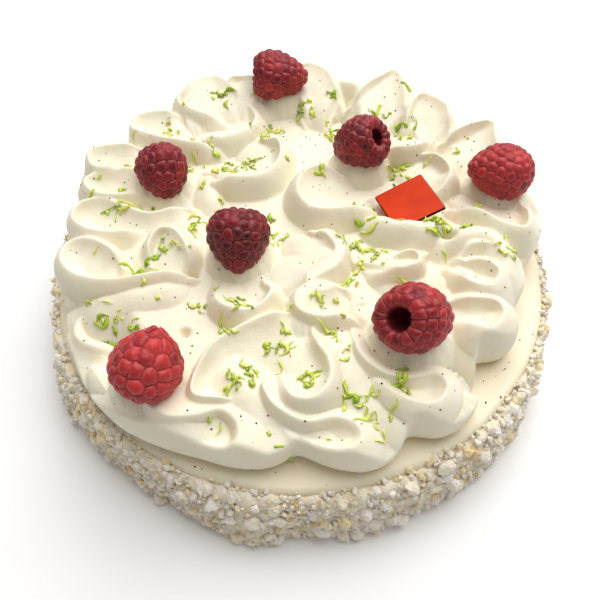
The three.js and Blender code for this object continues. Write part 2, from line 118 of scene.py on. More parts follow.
# %% Crest paths
STROKES = [
    # heights, wall reach, path of (angle, radius)
    ((9, 15, 20), (5, 15, 22), [(217, 83), (226, 85), (237, 86), (246, 86), (254, 85), (257, 82), (256, 77),
                                (252, 75), (248, 79), (243, 83), (238, 83), (234, 81)]),
    ((22, 21, 19), (5, 4, 4), [(267, 39), (257, 42), (248, 49), (243, 57), (243, 66), (245, 73), (250, 72),
                               (256, 69)]),
    ((13, 16, 20), (8, 10, 10), [(261, 70), (267, 76), (273, 81), (278, 83), (282, 81), (282, 77), (278, 74),
                                 (271, 75), (264, 71), (260, 65), (262, 60)]),
    ((21, 22, 23), (5, 8, 9), [(265, 61), (268, 68), (273, 69), (277, 65), (278, 58), (275, 51), (274, 46)]),
    ((18, 18, 21), (8, 8.5, 9.5), [(290, 61), (292, 69), (296, 76), (300, 79), (304, 77), (304, 72),
                                   (298, 70), (292, 65), (288, 57), (289, 48)]),
    ((19, 19, 21), (9, 9, 9), [(322, 63), (322, 69), (324, 74), (329, 75), (331, 71), (328, 64), (325, 59)]),
    ((21, 21, 22), (6, 10, 9), [(338, 54), (334, 61), (335, 68), (340, 69), (342, 65), (342, 58)]),
    ((22, 22, 21), (5, 5, 8), [(343, 56), (348, 59), (350, 65), (349, 71)]),
    ((21, 22, 22), (7, 9, 7), [(7, 56), (3, 64), (358, 71), (357, 78), (2, 80), (6, 80)]),
    ((22, 22, 22), (6, 6, 6), [(7, 80), (13, 82), (16, 79), (15, 70)]),
    ((23, 25, 24), (6, 5, 6), [(19, 80), (27, 84), (32, 88.5), (34, 84), (35, 77), (35, 68)]),
    ((25, 26, 25), (6, 5, 6), [(37, 73), (43, 80), (47, 81.5), (52, 80), (52, 72), (48, 62)]),
    ((24, 27, 24), (6, 5, 6), [(51, 66), (57, 78), (62.5, 87), (66, 81), (69, 74), (71, 64)]),
    ((24, 25, 24), (6, 6, 6), [(76, 66), (79, 74), (82, 81), (86, 84.5), (90, 84), (93, 66)]),
    ((24, 25, 24), (6, 6, 6), [(104, 65), (104, 77), (108, 80), (111, 81), (114, 75)]),
    ((24, 26, 23), (6, 7, 8), [(110, 70), (114, 82), (118, 84.5), (124, 82), (129, 77), (126, 68),
                               (120, 61)]),
    ((22, 22, 22), (8, 8, 8), [(133, 59), (126, 52), (116, 51), (109, 56), (109, 63), (111, 69)]),
    ((24, 23, 22), (6, 7, 8), [(131, 71), (136, 79), (141, 83), (145, 80), (143, 70), (137, 57), (130, 50)]),
    ((23, 23, 23), (6, 6, 6), [(149, 70), (153, 79), (157, 85.5), (160, 84), (162, 79), (158, 70)]),
    ((22, 21, 22), (6, 6, 6), [(156, 65), (161, 72), (164, 79), (167, 81), (170, 76), (170, 67), (166, 59)]),
    ((22, 20, 21), (6, 6, 7), [(171, 40), (176, 47), (178, 54), (175, 62), (172, 72), (174, 79), (179, 80),
                               (183, 74), (185, 64), (183, 55)]),
    ((22, 19, 21), (6, 7, 8), [(199, 63), (192, 66), (187, 74), (188, 80), (192, 82), (197, 78), (202, 68),
                               (205, 56), (211, 43)]),
    ((20, 23, 21), (7, 7, 7), [(209, 43), (203, 41), (196, 41), (189, 44), (188, 49), (193, 52), (200, 53)]),
    ((9, 10, 11), (5, 5, 5), [(218, 75), (214, 81), (210, 84), (206, 82), (206, 77), (209, 73)]),
    ((23, 23, 24), (8, 9, 9), [(148, 37), (139, 29), (123, 25), (106, 30), (103, 38), (109, 44)]),
    ((24, 24, 23), (8, 7, 8), [(54, 26), (74, 24), (88, 18), (91, 9), (25, 7), (12, 16), (14, 25)]),
    ((23, 24, 24), (7, 8, 8), [(269, 31), (279, 26), (296, 23), (310, 19), (317, 13), (301, 8)]),
    ((24, 24, 23), (6, 6, 7), [(295, 34), (281, 31), (271, 33), (271, 38), (279, 41), (291, 43)]),
    ((22, 22, 23), (6, 7, 7), [(227, 40), (235, 44), (245, 43), (251, 39), (253, 33), (246, 30)]),
    ((16, 22, 24), (6, 8, 8), [(18, 42), (16, 51), (21, 59), (28, 60), (36, 56)]),
    ((24, 24, 24), (6, 6, 6), [(48, 49), (41, 52), (38, 58), (38, 66)]),
    ((23, 23, 23), (6, 6, 6), [(319, 35), (327, 41), (332, 44), (336, 41), (329, 35)]),
]
SWELLS = [
    # broad smooth bulges between the folds: height at the start, middle and end, reach, path
    ((20, 18, 14), 15, [(282, 46), (283, 57), (285, 68), (287, 76)]),
    ((20, 18, 13), 16, [(249, 58), (255, 66), (260, 73), (262, 76)]),
    ((23, 22, 18), 11, [(349, 50), (353, 62), (350, 68), (344, 71), (337, 72)]),
    ((23, 24, 24), 8, [(83, 76), (78, 76), (73, 76), (68, 77)]),
    ((20, 25.3, 21), 10, [(5, 24), (357, 28), (350, 35), (352, 43), (359, 52)]),
    ((18, 18, 17), 12, [(168, 34), (152, 38), (140, 44)]),
    ((18.5, 17, 14), 14, [(214, 46), (210, 58), (206, 68), (205, 76)]),
]


FOOT = [
    # angle, radius at which the outermost folds meet the disc
    (0, 87), (6, 89), (12, 87), (25, 88), (32, 91), (38, 84), (48, 86), (55, 82), (63, 90), (70, 81),
    (76, 81), (84, 87), (91, 87), (98, 80), (106, 85), (118, 88), (126, 85), (132, 79), (141, 87),
    (148, 80), (157, 89), (163, 86), (168, 86), (172, 81), (178, 85), (184, 81), (191, 87), (198, 84),
    (208, 87), (214, 88), (220, 90), (232, 90), (241, 88), (250, 86), (256, 86), (262, 85), (266, 83),
    (269, 79), (272, 81), (276, 84), (282, 87), (287, 87), (291, 84), (293, 80), (296, 82), (299, 85.5),
    (304, 87), (308, 86), (312, 83), (315, 79), (318, 74), (321, 76), (324, 81), (328, 82.5),
    (332, 81.5), (335, 78), (338, 77.5), (341, 79.5), (346, 80), (350, 78.5), (354, 82), (357, 85),
    (360, 87),
]


DIMPLES = [
    # dark gaps where folds do not quite close: angle, radius, depth, reach
    (210, 42, 6, 1.4), (352, 52, 6, 1.6), (230, 57, 4, 1.3), (316, 25, 4, 1.3), (134, 36, 4, 1.3),
]


def smooth_path(corners, step):
    """A curve through the corners (Catmull-Rom), as points a step apart: between two corners it is the
    cubic whose end slopes are half the way from the corner before to the corner after."""
    p = np.vstack([2 * corners[0] - corners[1], corners, 2 * corners[-1] - corners[-2]])
    t = np.linspace(0, 1, 20, endpoint=False)[None, :, None]
    a, b, c, d = (p[k : len(p) - 3 + k, None, :] for k in range(4))
    curve = b + 0.5 * t * (c - a + t * (2 * a - 5 * b + 4 * c - d + t * (3 * (b - c) + d - a)))
    curve = np.vstack([curve.reshape(-1, corners.shape[1]), corners[-1]])
    along = np.concatenate([[0], np.cumsum(np.linalg.norm(np.diff(curve, axis=0), axis=1))])
    even = np.linspace(0, along[-1], max(4, int(along[-1] / step)))
    return np.stack([np.interp(even, along, curve[:, k]) for k in range(corners.shape[1])], axis=-1), even


def crest_points(strokes, step=0.8):
    """Place, direction, height, pocket depth, pocket width and wall reach at each point of every crest."""
    found = []
    for heights, reaches, path in strokes:
        corners = np.array([polar(angle, radius) for angle, radius in path])
        points, along = smooth_path(corners, step)
        way = np.gradient(points, axis=0)
        way /= np.linalg.norm(way, axis=1)[:, None]
        share = along / along[-1]
        height = np.interp(share, [0, 0.5, 1], heights)
        fade = 3.5 * (1 - ease(0, 7, along)) + 3.5 * (1 - ease(0, 7, along[-1] - along))
        lip = 1 - ease(0.45, 0.62, share)
        found.append(np.column_stack([
            points, way, height - fade, 5 - 2 * ease(45, 72, points[:, 1]), 1.1 + 3.0 * lip,
            np.interp(share, [0, 0.33, 0.5, 1], np.array(reaches)[[0, 0, 1, 2]])]))
    return np.vstack(found)


CRESTS = crest_points(STROKES)
BULGES = crest_points([(heights, (reach,) * 3, path) for heights, reach, path in SWELLS])
print(f"{len(STROKES)} strokes, {len(CRESTS)} crest points")


def nest(name):
    """A ring of bulge points round a berry, with their top 0.42 of its radius below its middle."""
    low, high = (np.array(end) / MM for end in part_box(name))
    middle, half = (low + high) / 2, (high - low).mean() / 2
    ring = middle[:2] + polar(np.linspace(0, 360, 16, endpoint=False), 0.6 * half)
    level = middle[2] - DISC_TOP - 0.42 * half
    direction, depth, width, reach = (1.0, 0.0), 5.0, 2.0, 9.0
    rest = np.array([*direction, level, depth, width, reach])
    return np.column_stack([ring, np.tile(rest, (len(ring), 1))])


BERRY_NODES = [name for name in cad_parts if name.startswith("raspberry")]
BULGES = np.vstack([BULGES] + [nest(name) for name in BERRY_NODES])


# %% [markdown]
# ## From crests to one surface
#
# A modeller could sweep a profile along each stroke, but the folds would then pass through each other.
# The cream is simpler seen as a landscape: at each place its height is the highest that any crest
# reaches there. Inside a hook the surface drops into a pocket and levels out, outside it rounds over
# and falls like a quarter of an ellipse. Where two strokes meet, the higher one wins and a crisp crease
# is left, just as one fold of cream lies on the one before.


# %% The landscape of the cream
def stroke_heights(x, y, crests, both_walls=False):
    """Highest of: crest height less a pocket drop, depth (1 - e^(-d / width)), on the left of the crest,
    and less a wall drop, height (1 - sqrt(1 - (d / reach)^1.6)), on its right."""
    px, py, wx, wy, height, depth, width, reach = (column[:, None] for column in crests.T)
    dx = x[None] - px
    dy = y[None] - py
    away = np.hypot(dx, dy) + 1e-6
    side = (wx * dy - wy * dx) / away
    inside = np.clip(0.5 + 0.9 * side, 0, 1)
    pocket = depth * (1 - np.exp(-away / width)) + 0.05 * away + (away / 12) ** 4
    near = np.clip(away / reach, 0, 1)
    wall = height * (1 - np.sqrt(1 - near**1.6)) + np.where(away > reach, 40, 0)
    if both_walls:
        inside = 0
    return (height - inside * pocket - (1 - inside) * wall).max(axis=0)


STEP = 0.32
HALF = 96
TILE = 24
FLOOR_LEVEL = 14.5
OPEN_GAP = -6
axis = np.arange(-HALF, HALF + STEP / 2, STEP)
ground_x, ground_y = np.meshgrid(axis, axis)
ground_r = np.hypot(ground_x, ground_y)
landscape = FLOOR_LEVEL + (OPEN_GAP - FLOOR_LEVEL) * ease(64, 84, ground_r)
for row in range(0, len(axis), TILE):
    for column in range(0, len(axis), TILE):
        tile = (slice(row, row + TILE), slice(column, column + TILE))
        x, y = ground_x[tile], ground_y[tile]
        middle = np.array([x.mean(), y.mean()])
        for crests, both in ((CRESTS, False), (BULGES, True)):
            close = crests[np.hypot(*(crests[:, :2] - middle).T) < 24 + TILE * STEP * 0.75]
            if len(close):
                heights = stroke_heights(x.ravel(), y.ravel(), close, both).reshape(x.shape)
                landscape[tile] = np.maximum(landscape[tile], heights)


def soften(field, reach):
    """Gaussian blur, as the same weighted mean first along the rows and then along the columns."""
    span = int(3 * reach / STEP) + 1
    weights = np.exp(-0.5 * (np.arange(-span, span + 1) * STEP / reach) ** 2)
    weights /= weights.sum()
    for way in (0, 1):
        field = sum(w * np.roll(field, k - span, axis=way) for k, w in enumerate(weights))
    return field


def foot_radius(x, y):
    """Where the cream ends in the direction of (x, y): FOOT, blurred by a bell of 1.3 degrees."""
    fine = np.arange(-30, 390, 0.25)
    bell = np.exp(-0.5 * (np.arange(-6, 6.1, 0.25) / 1.3) ** 2)
    outline = np.interp(fine % 360, *np.array(FOOT, float).T)
    outline = np.convolve(outline, bell / bell.sum(), mode="same")
    return np.interp(np.degrees(np.arctan2(y, x)) % 360, fine, outline)


def round_wall(inset, front):
    """Height allowed so far in from the foot: a quarter ellipse, 2.6 mm wide and 29 high at the back, 9
    wide and 22 high at the front, where the folds are rounder."""
    share = np.clip(inset / (2.6 + 6.4 * front), 0, 1)
    return (29 - 7 * front) * np.sqrt(1 - (1 - share) ** 2)


foot_at = foot_radius(ground_x, ground_y)
towards_front = ease(-0.2, 0.7, -ground_y / np.maximum(ground_r, 1))
cap = round_wall(foot_at - ground_r, towards_front)
landscape = np.where(foot_at > ground_r, np.minimum(landscape, cap), OPEN_GAP)
for angle, radius, depth, reach in DIMPLES:
    x, y = polar(angle, radius)
    landscape -= depth * np.exp(-((ground_x - x) ** 2 + (ground_y - y) ** 2) / reach**2)
landscape = soften(landscape, 0.22)
print(f"cream up to {landscape.max():.1f} mm above the disc")


def cream_height(x, y):
    """Height of the cream above the disc, read between the points of the landscape."""
    column = np.clip((x + HALF) / STEP, 0, len(axis) - 2.001)
    row = np.clip((y + HALF) / STEP, 0, len(axis) - 2.001)
    c0, r0 = column.astype(int), row.astype(int)
    c, r = column - c0, row - r0
    near = landscape[r0, c0] * (1 - c) + landscape[r0, c0 + 1] * c
    far = landscape[r0 + 1, c0] * (1 - c) + landscape[r0 + 1, c0 + 1] * c
    return near * (1 - r) + far * r


# %% [markdown]
# ## The skin of the cream
#
# A plain grid has few points on a steep wall, so each spoke of the grid walks over the landscape and
# sets its points down at equal lengths of way. The tall walls then get as many points as the tops.
# Real walls also belly out a little and tuck in at the foot, where they meet the disc.


# %% Cream surface
def cream_surface(columns, rows):
    """For each spoke: the way walked is the sum of sqrt(dr^2 + dz^2), and the points lie at equal shares
    of it, from the centre out to where the height reaches nothing."""
    turn = np.linspace(0, 2 * np.pi, columns, endpoint=False)
    r = np.concatenate([np.linspace(0.2, 30, 60, endpoint=False), np.linspace(30, RIM - 0.5, 420)])
    x = r[None] * np.cos(turn)[:, None]
    y = r[None] * np.sin(turn)[:, None]
    z = cream_height(x, y)
    last = np.minimum(len(r) - (z > 0)[:, ::-1].argmax(axis=1), len(r) - 1)
    index = np.arange(len(r))[None]
    z = np.where(index >= last[:, None], 0, np.maximum(z, 0.3))
    climb = np.hypot(np.diff(r)[None], np.diff(z, axis=1))
    weight = 0.35 + 0.65 * ease(12, 32, r[1:])[None]
    climb = np.where(index[:, 1:] > last[:, None], 0, climb * weight) + 1e-9
    walked = np.concatenate([np.zeros((columns, 1)), np.cumsum(climb, axis=1)], axis=1)
    share = walked / walked[np.arange(columns), last][:, None]
    lane = np.arange(columns)[:, None] * 10.0
    wanted = (np.linspace(0, 1, rows)[None] + lane).ravel()
    line = (np.clip(share, 0, 1 + 1e-6 * index) + lane).ravel()
    new_r = np.interp(wanted, line, np.broadcast_to(r, share.shape).ravel()).reshape(columns, rows)
    new_z = np.interp(wanted, line, z.ravel()).reshape(columns, rows)
    new_r[:, -1] = r[last]
    new_z[:, -1] = 0
    spokes = np.stack([new_r * np.cos(turn)[:, None], new_r * np.sin(turn)[:, None], new_z], axis=-1)
    return spokes.transpose(1, 0, 2)


def belly(skin):
    """Pushes steep parts outwards along their level normal by 0.8 * 4 q (1 - q) less 1.4 (1 - q)^6, with
    q the height as a share of 18 mm."""
    around = np.roll(skin, -1, axis=1) - np.roll(skin, 1, axis=1)
    outward = np.gradient(skin, axis=0)
    normal = np.cross(outward, around)
    normal /= np.linalg.norm(normal, axis=-1)[..., None] + 1e-9
    steep = np.linalg.norm(normal[..., :2], axis=-1)
    q = np.clip(skin[..., 2] / 18, 0, 1)
    shift = (0.8 * 4 * q * (1 - q) - 1.4 * (1 - q) ** 6) * ease(0.55, 0.95, steep)
    shift = shift * ease(56, 66, np.hypot(skin[..., 0], skin[..., 1]))
    out = skin.copy()
    out[..., :2] += normal[..., :2] * shift[..., None]
    return out


COLUMNS, ROWS = ((1080, 220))
skin = belly(cream_surface(COLUMNS, ROWS))
skin[..., 2] += DISC_TOP
foot = skin[-1].copy()
foot[:, 2] = DISC_TOP - 0.2
hub = np.array([[0, 0, cream_height(np.zeros(1), np.zeros(1))[0] + DISC_TOP], [0, 0, DISC_TOP - 0.2]])


def close_poles(rows, columns):
    """Triangles from the first row to one pole and from the last row to the other."""
    first = np.arange(columns)
    following = np.roll(first, -1)
    top = rows * columns
    last = (rows - 1) * columns
    fan_top = np.stack([np.full(columns, top), first, following], axis=-1)
    fan_foot = np.stack([np.full(columns, top + 1), last + following, last + first], axis=-1)
    return np.vstack([fan_top, fan_foot])


def add_shell(name, grid, poles, material):
    """A closed skin: a grid that wraps round, cut into triangles, with a fan of them to the pole at each
    end. Its rows run from the first pole to the second."""
    rows, columns = grid.shape[:2]
    points = np.vstack([grid.reshape(-1, 3), poles])
    quads = wrap_faces(rows, columns)[:, ::-1]
    halves = np.vstack([quads[:, [0, 1, 2]], quads[:, [0, 2, 3]]])
    faces = np.vstack([halves, close_poles(rows, columns)])
    return add_piece(name, points, faces, material)


# %% [markdown]
# ## Finishes
#
# A finish is a small graph of nodes round one shader. Patterns are read from the object's own place in
# millimetres, so they stay on the food when it is turned or moved. Numbers that are the same all over
# are set on the shader itself, and only what varies is linked.


# %% Nodes in a few words
def new_finish(name, roughness, softness=0.0, sheen=0.0, level=0.5):
    """A finish and its shader. Softness is the share of light that goes in and comes back out, level how
    much the surface mirrors."""
    finish = bpy.data.materials.new(name)
    finish.use_nodes = True
    nodes = finish.node_tree.nodes
    shader = nodes["Principled BSDF"]
    shader.inputs["Roughness"].default_value = roughness
    shader.inputs["Subsurface Weight"].default_value = softness
    shader.inputs["Sheen Weight"].default_value = sheen
    shader.inputs["Specular IOR Level"].default_value = level
    return finish, shader


def node(finish, kind, **settings):
    """One node with its settings: names of sockets given as set_NAME are filled in."""
    made = finish.node_tree.nodes.new(kind)
    for key, value in settings.items():
        if key.startswith("set_"):
            made.inputs[key[4:].replace("_", " ")].default_value = value
        else:
            setattr(made, key, value)
    return made


def link(finish, source, target):
    """Joins an output to an input."""
    finish.node_tree.links.new(source, target)


def pattern(finish, kind, per_mm, detail=3.0, **more):
    """A noise or cell pattern read in millimetres: per_mm features in each millimetre."""
    place = node(finish, "ShaderNodeTexCoord")
    made = node(finish, kind, set_Scale=per_mm / MM, **more)
    if kind == "ShaderNodeTexNoise":
        made.inputs["Detail"].default_value = detail
    link(finish, place.outputs["Object"], made.inputs["Vector"])
    return made


def ramp(finish, source, stops):
    """Colours blended along a value: each stop is (value, colour)."""
    made = node(finish, "ShaderNodeValToRGB")
    elements = made.color_ramp.elements
    while len(elements) < len(stops):
        elements.new(0.5)
    for element, (at, colour) in zip(elements, stops):
        element.position = at
        element.color = (*colour, 1)
    link(finish, source, made.inputs["Fac"])
    return made.outputs["Color"]


def stain(finish, below, above, share):
    """One colour laid over another by a share that varies."""
    made = node(finish, "ShaderNodeMix", data_type="RGBA")
    link(finish, share, made.inputs[0])
    for colour, socket in ((below, made.inputs[6]), (above, made.inputs[7])):
        if isinstance(colour, tuple):
            socket.default_value = (*colour, 1)
        else:
            link(finish, colour, socket)
    return made.outputs[2]


def relief(finish, shader, layers):
    """Bumps stacked on each other: each layer is (value, height in mm)."""
    normal = None
    for value, height in layers:
        bump = node(finish, "ShaderNodeBump", set_Distance=height * MM, set_Strength=1.0)
        link(finish, value, bump.inputs["Height"])
        if normal is not None:
            link(finish, normal, bump.inputs["Normal"])
        normal = bump.outputs["Normal"]
    link(finish, normal, shader.inputs["Normal"])


# %% [markdown]
# ### Whipped cream and icing
#
# Whipped cream is a foam: light goes a few millimetres into it and comes back warm, which is why its
# shades look soft and yellowish and never grey. A little subsurface scattering gives that. Its skin is
# nearly smooth, with faint drag lines of the nozzle and a few pores.


# %% Cream and icing
def make_cream():
    """Ivory in slow clouds, with faint waves and fine pores."""
    finish, shader = new_finish("vanilla_cream", roughness=0.48, softness=0.35, level=0.35)
    shader.inputs["Subsurface Radius"].default_value = (1.0, 0.72, 0.42)
    shader.inputs["Subsurface Scale"].default_value = 0.0035
    cloud = pattern(finish, "ShaderNodeTexNoise", 0.05)
    pores = pattern(finish, "ShaderNodeTexNoise", 1.6, detail=6.0)
    colour = ramp(finish, cloud.outputs["Fac"], [(0.3, (0.93, 0.865, 0.70)), (0.7, (0.945, 0.895, 0.755))])
    link(finish, colour, shader.inputs["Base Color"])
    waves = pattern(finish, "ShaderNodeTexNoise", 0.35)
    relief(finish, shader, [(waves.outputs["Fac"], 0.25), (pores.outputs["Fac"], 0.05)])
    return finish


def make_icing():
    """A little yellower than the cream, with pores only."""
    finish, shader = new_finish("icing", roughness=0.5, softness=0.25, level=0.35)
    shader.inputs["Subsurface Radius"].default_value = (1.0, 0.7, 0.4)
    shader.inputs["Subsurface Scale"].default_value = 0.003
    cloud = pattern(finish, "ShaderNodeTexNoise", 0.06)
    pores = pattern(finish, "ShaderNodeTexNoise", 0.9, detail=6.0)
    colour = ramp(finish, cloud.outputs["Fac"], [(0.35, (0.965, 0.865, 0.68)), (0.68, (0.975, 0.895, 0.73))])
    link(finish, colour, shader.inputs["Base Color"])
    relief(finish, shader, [(pores.outputs["Fac"], 0.12)])
    return finish


CREAM = make_cream()
ICING = make_icing()
cream = add_shell("cream_ribbons", np.concatenate([skin, foot[None]]), hub, CREAM)
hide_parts("piped_cream")

# %% [markdown]
# ## The iced disc
#
# A lathe profile turned round the middle would do, and this is one, but a palette knife never leaves a
# perfect circle. The radius and the top wander by a few tenths of a millimetre as the profile goes round.


# %% Disc
def iced_disc(columns=256):
    """A lathe: the profile's radius and height at each row, turned round, with slow waves of 0.25 mm."""
    bend = np.radians(np.linspace(0, 90, 9))
    rounding = 2.4
    radius = np.concatenate([[20, 60, RIM - 1, RIM], RIM - rounding * (1 - np.cos(bend)),
                             np.linspace(RIM - 4, 20, 24)])
    height = np.concatenate([[0, 0, 0, 0.8], DISC_TOP - rounding * (1 - np.sin(bend)),
                             np.full(24, DISC_TOP)])
    turn = np.linspace(0, 2 * np.pi, columns, endpoint=False)
    waves = 0.25 * np.sin(3 * turn + 1) + 0.15 * np.sin(11 * turn) + 0.1 * np.sin(23 * turn + 2)
    r = radius[:, None] + waves * ease(60, RIM, radius)[:, None] - 0.3
    lift = 0.12 * np.sin(7 * turn + radius[:, None] / 9) * (height[:, None] > DISC_TOP - 0.1)
    return np.stack([r * np.cos(turn), r * np.sin(turn), height[:, None] + lift + 0 * turn], axis=-1)


disc = add_shell("iced_disc", iced_disc()[::-1], np.array([[0, 0, DISC_TOP], [0, 0, 0]]), ICING)
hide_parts("iced_body")

# %% [markdown]
# ## Crushed meringue
#
# The side is rolled in broken meringue. It could be faked with bumps alone, but its outline is ragged and
# bits stand out of it, so it is built as it is made: a rough bed, and thousands of loose crumbs pressed
# on it. A crumb is what a few straight breaks leave of a ball.


# %% Crumb shapes
rng = np.random.default_rng(11)


def cube_skin(cuts):
    """Points of a cube's skin, blown up to a ball, and its faces: cuts by cuts squares on each side."""
    found, faces = {}, []
    for side in range(3):
        for sign in (-1, 1):
            numbers = np.zeros((cuts + 1, cuts + 1), int)
            for i in range(cuts + 1):
                for j in range(cuts + 1):
                    corner = [0, 0, 0]
                    corner[side] = sign * cuts
                    corner[(side + 1) % 3] = 2 * i - cuts
                    corner[(side + 2) % 3] = 2 * j - cuts
                    numbers[i, j] = found.setdefault(tuple(corner), len(found))
            quads = np.stack([numbers[:-1, :-1], numbers[1:, :-1], numbers[1:, 1:], numbers[:-1, 1:]], -1)
            quads = quads.reshape(-1, 4)
            faces.append(quads if sign > 0 else quads[:, ::-1])
    ball = np.array(list(found), float)
    return ball / np.linalg.norm(ball, axis=1)[:, None], np.vstack(faces)


def random_turns(count):
    """One random rotation matrix for each crumb, from unit quaternions."""
    q = rng.normal(size=(count, 4))
    a, b, c, d = (q / np.linalg.norm(q, axis=1)[:, None]).T
    return np.array([
        [1 - 2 * (c * c + d * d), 2 * (b * c - a * d), 2 * (b * d + a * c)],
        [2 * (b * c + a * d), 1 - 2 * (b * b + d * d), 2 * (c * d - a * b)],
        [2 * (b * d - a * c), 2 * (c * d + a * b), 1 - 2 * (b * b + c * c)]]).transpose(2, 0, 1)


def broken_bits(centres, sizes, cuts, breaks=9):
    """Each crumb is a ball cut by planes: along a direction v its radius is the least of 1 and
    depth / (v . n) over the planes, then it is roughened, stretched, turned and put in place."""
    ball, faces = cube_skin(cuts)
    count = len(centres)
    normals = rng.normal(size=(count, breaks, 3))
    normals /= np.linalg.norm(normals, axis=2)[:, :, None]
    depths = rng.uniform(0.45, 0.85, (count, breaks, 1))
    facing = np.einsum("cbk,vk->cbv", normals, ball)
    radius = np.where(facing > 0.05, depths / np.maximum(facing, 0.05), 9).min(axis=1).clip(0, 1)
    radius *= rng.uniform(0.93, 1.07, radius.shape)
    stretch = rng.uniform(0.7, 1.3, (count, 1, 3))
    bits = ball[None] * radius[:, :, None] * stretch * sizes[:, None, None] / 2
    bits = np.einsum("cij,cvj->cvi", random_turns(count), bits) + centres[:, None]
    numbers = faces[None] + (np.arange(count) * len(ball))[:, None, None]
    return bits.reshape(-1, 3), numbers.reshape(-1, 4), len(ball)


COAT_SWELLS = [
    # angle, how much thicker or thinner the coat's foot is there, in mm
    (0, -4.8), (20, -4), (60, 0), (120, 0), (160, -1), (192, -4.2), (202, -2.4), (210, 4), (218, 2.2),
    (228, 1.2), (245, 1.2), (256, 4.2), (262, 5.6), (270, 1), (280, 3.2), (290, 2.2), (300, 2.4), (312, 2.4),
    (322, 2), (335, -0.6), (348, -3.4), (360, -4.8),
]


def coat_radius(turn, z):
    """Outer radius of the bed of crumbs: it swells towards the foot with the square root of the drop."""
    swell = np.interp(np.degrees(turn) % 360, *np.array(COAT_SWELLS).T)
    return RIM + 1.4 + (3.4 + swell) * np.sqrt(np.clip(1 - z / (DISC_TOP - 1.5), 0, 1))


def strewn(count, size_low, size_high, lowest, highest, proud):
    """Crumbs spread evenly over the side, as places and sizes. A size is low (high / low)^(s^1.4) with s
    even from 0 to 1, so small crumbs are the most; their middles lie about proud beyond coat_radius."""
    turn = rng.uniform(0, 2 * np.pi, count)
    z = rng.uniform(lowest, highest, count)
    size = size_low * (size_high / size_low) ** (rng.uniform(0, 1, count) ** 1.4)
    r = coat_radius(turn, z) + proud + rng.uniform(-0.9, 0.5, count)
    z = np.maximum(z, size * 0.45)
    return np.stack([r * np.cos(turn), r * np.sin(turn), z], axis=-1), size


# %% [markdown]
# ### Baked meringue and the bed of crumbs
#
# Baked meringue is dry and chalky: light goes in about a millimetre, a pale sheen lies on the grain,
# and a few crumbs took more heat and are cream or amber. Each crumb carries one number, its tint, and the
# finish picks the colour by it. The finest crumbs, too small to be made one by one, are the bed: a ring
# with knobs on it, that the loose crumbs then stand half out of.


# %% Crumb finish and bed
def make_meringue(name, dark):
    """Chalky and grainy; dark is the share by which the hollows of the grain are shaded."""
    finish, shader = new_finish(name, roughness=0.85, softness=0.25, sheen=0.5, level=0.25)
    shader.inputs["Subsurface Radius"].default_value = (1.0, 0.95, 0.85)
    shader.inputs["Subsurface Scale"].default_value = 0.0012
    tint = node(finish, "ShaderNodeAttribute", attribute_name="tint")
    grain = pattern(finish, "ShaderNodeTexNoise", 1.1, detail=8.0)
    pits = pattern(finish, "ShaderNodeTexVoronoi", 1.5)
    colour = ramp(finish, tint.outputs["Fac"], [
        (0.0, (0.99, 0.93, 0.86)), (0.35, (0.985, 0.905, 0.80)), (0.6, (0.98, 0.88, 0.68)),
        (0.82, (0.97, 0.85, 0.58)), (0.95, (0.92, 0.76, 0.46)), (1.0, (0.80, 0.58, 0.34))])
    shade = ramp(finish, grain.outputs["Fac"], [(0.35, (0.94, 0.93, 0.90)), (0.6, (1, 1, 1))])
    mixed = node(finish, "ShaderNodeMix", data_type="RGBA", blend_type="MULTIPLY")
    mixed.inputs[0].default_value = dark
    link(finish, colour, mixed.inputs[6])
    link(finish, shade, mixed.inputs[7])
    link(finish, mixed.outputs[2], shader.inputs["Base Color"])
    relief(finish, shader, [(grain.outputs["Fac"], 0.35), (pits.outputs["Distance"], 0.2)])
    return finish


CRUMB = make_meringue("crushed_meringue", 0.6)
BED = make_meringue("crumb_bed", 1.0)


def crumb_bed(columns=720, rows=26):
    """A ring closed both ways: an inner wall, and an outer one that lies 0.3 mm inside coat_radius, plus two
    sizes of knobs, each a product of two sines. Its top edge is ragged by sines of the angle alone."""
    turn = np.linspace(0, 2 * np.pi, columns, endpoint=False)
    top = DISC_TOP - 1.6
    z = np.linspace(0, 1, rows)[:, None] * top
    ragged = 0.9 * np.sin(31 * turn) * np.sin(17 * turn + 1) + 0.5 * np.sin(83 * turn + 2)
    knobs = (0.7 * np.sin(41 * turn + z / 1.3) * np.sin(29 * turn - z / 0.9)
             + 0.5 * np.sin(97 * turn - z / 0.7) * np.sin(61 * turn + z / 0.6 + 1))
    r = coat_radius(turn, z) - 0.3 + knobs * ease(0, 2, z)
    height = z + ragged * ease(0.5, 1, z / top)
    inner_r = np.array([[RIM - 1.4], [RIM - 1.4]]) + 0 * turn
    inner_z = np.array([[top - 1.0], [0.0]]) + 0 * turn
    r = np.vstack([r, inner_r])
    height = np.vstack([height + 0 * turn, inner_z])
    return np.stack([r * np.cos(turn), r * np.sin(turn), height], axis=-1)


ring = crumb_bed()
rows, columns = ring.shape[:2]
around = wrap_faces(rows, columns)
base = np.arange(columns)
closing = np.stack([(rows - 1) * columns + base, (rows - 1) * columns + np.roll(base, -1),
                    np.roll(base, -1), base], axis=-1)
bed = add_piece("crumb_bed", ring.reshape(-1, 3), np.vstack([around, closing]), BED)
add_attribute(bed, "tint", rng.uniform(0.1, 0.8, len(bed.data.vertices)))
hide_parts("meringue_coat")


# %% [markdown]
# ### Loose crumbs
#
# When the cake is rolled in the crumbs, the large ones stick on the side and the small ones fill the gaps
# and climb over the edge. So there are two meshes: large crumbs with more faces each, and small ones,
# among them the row that lies on the rim of the icing.


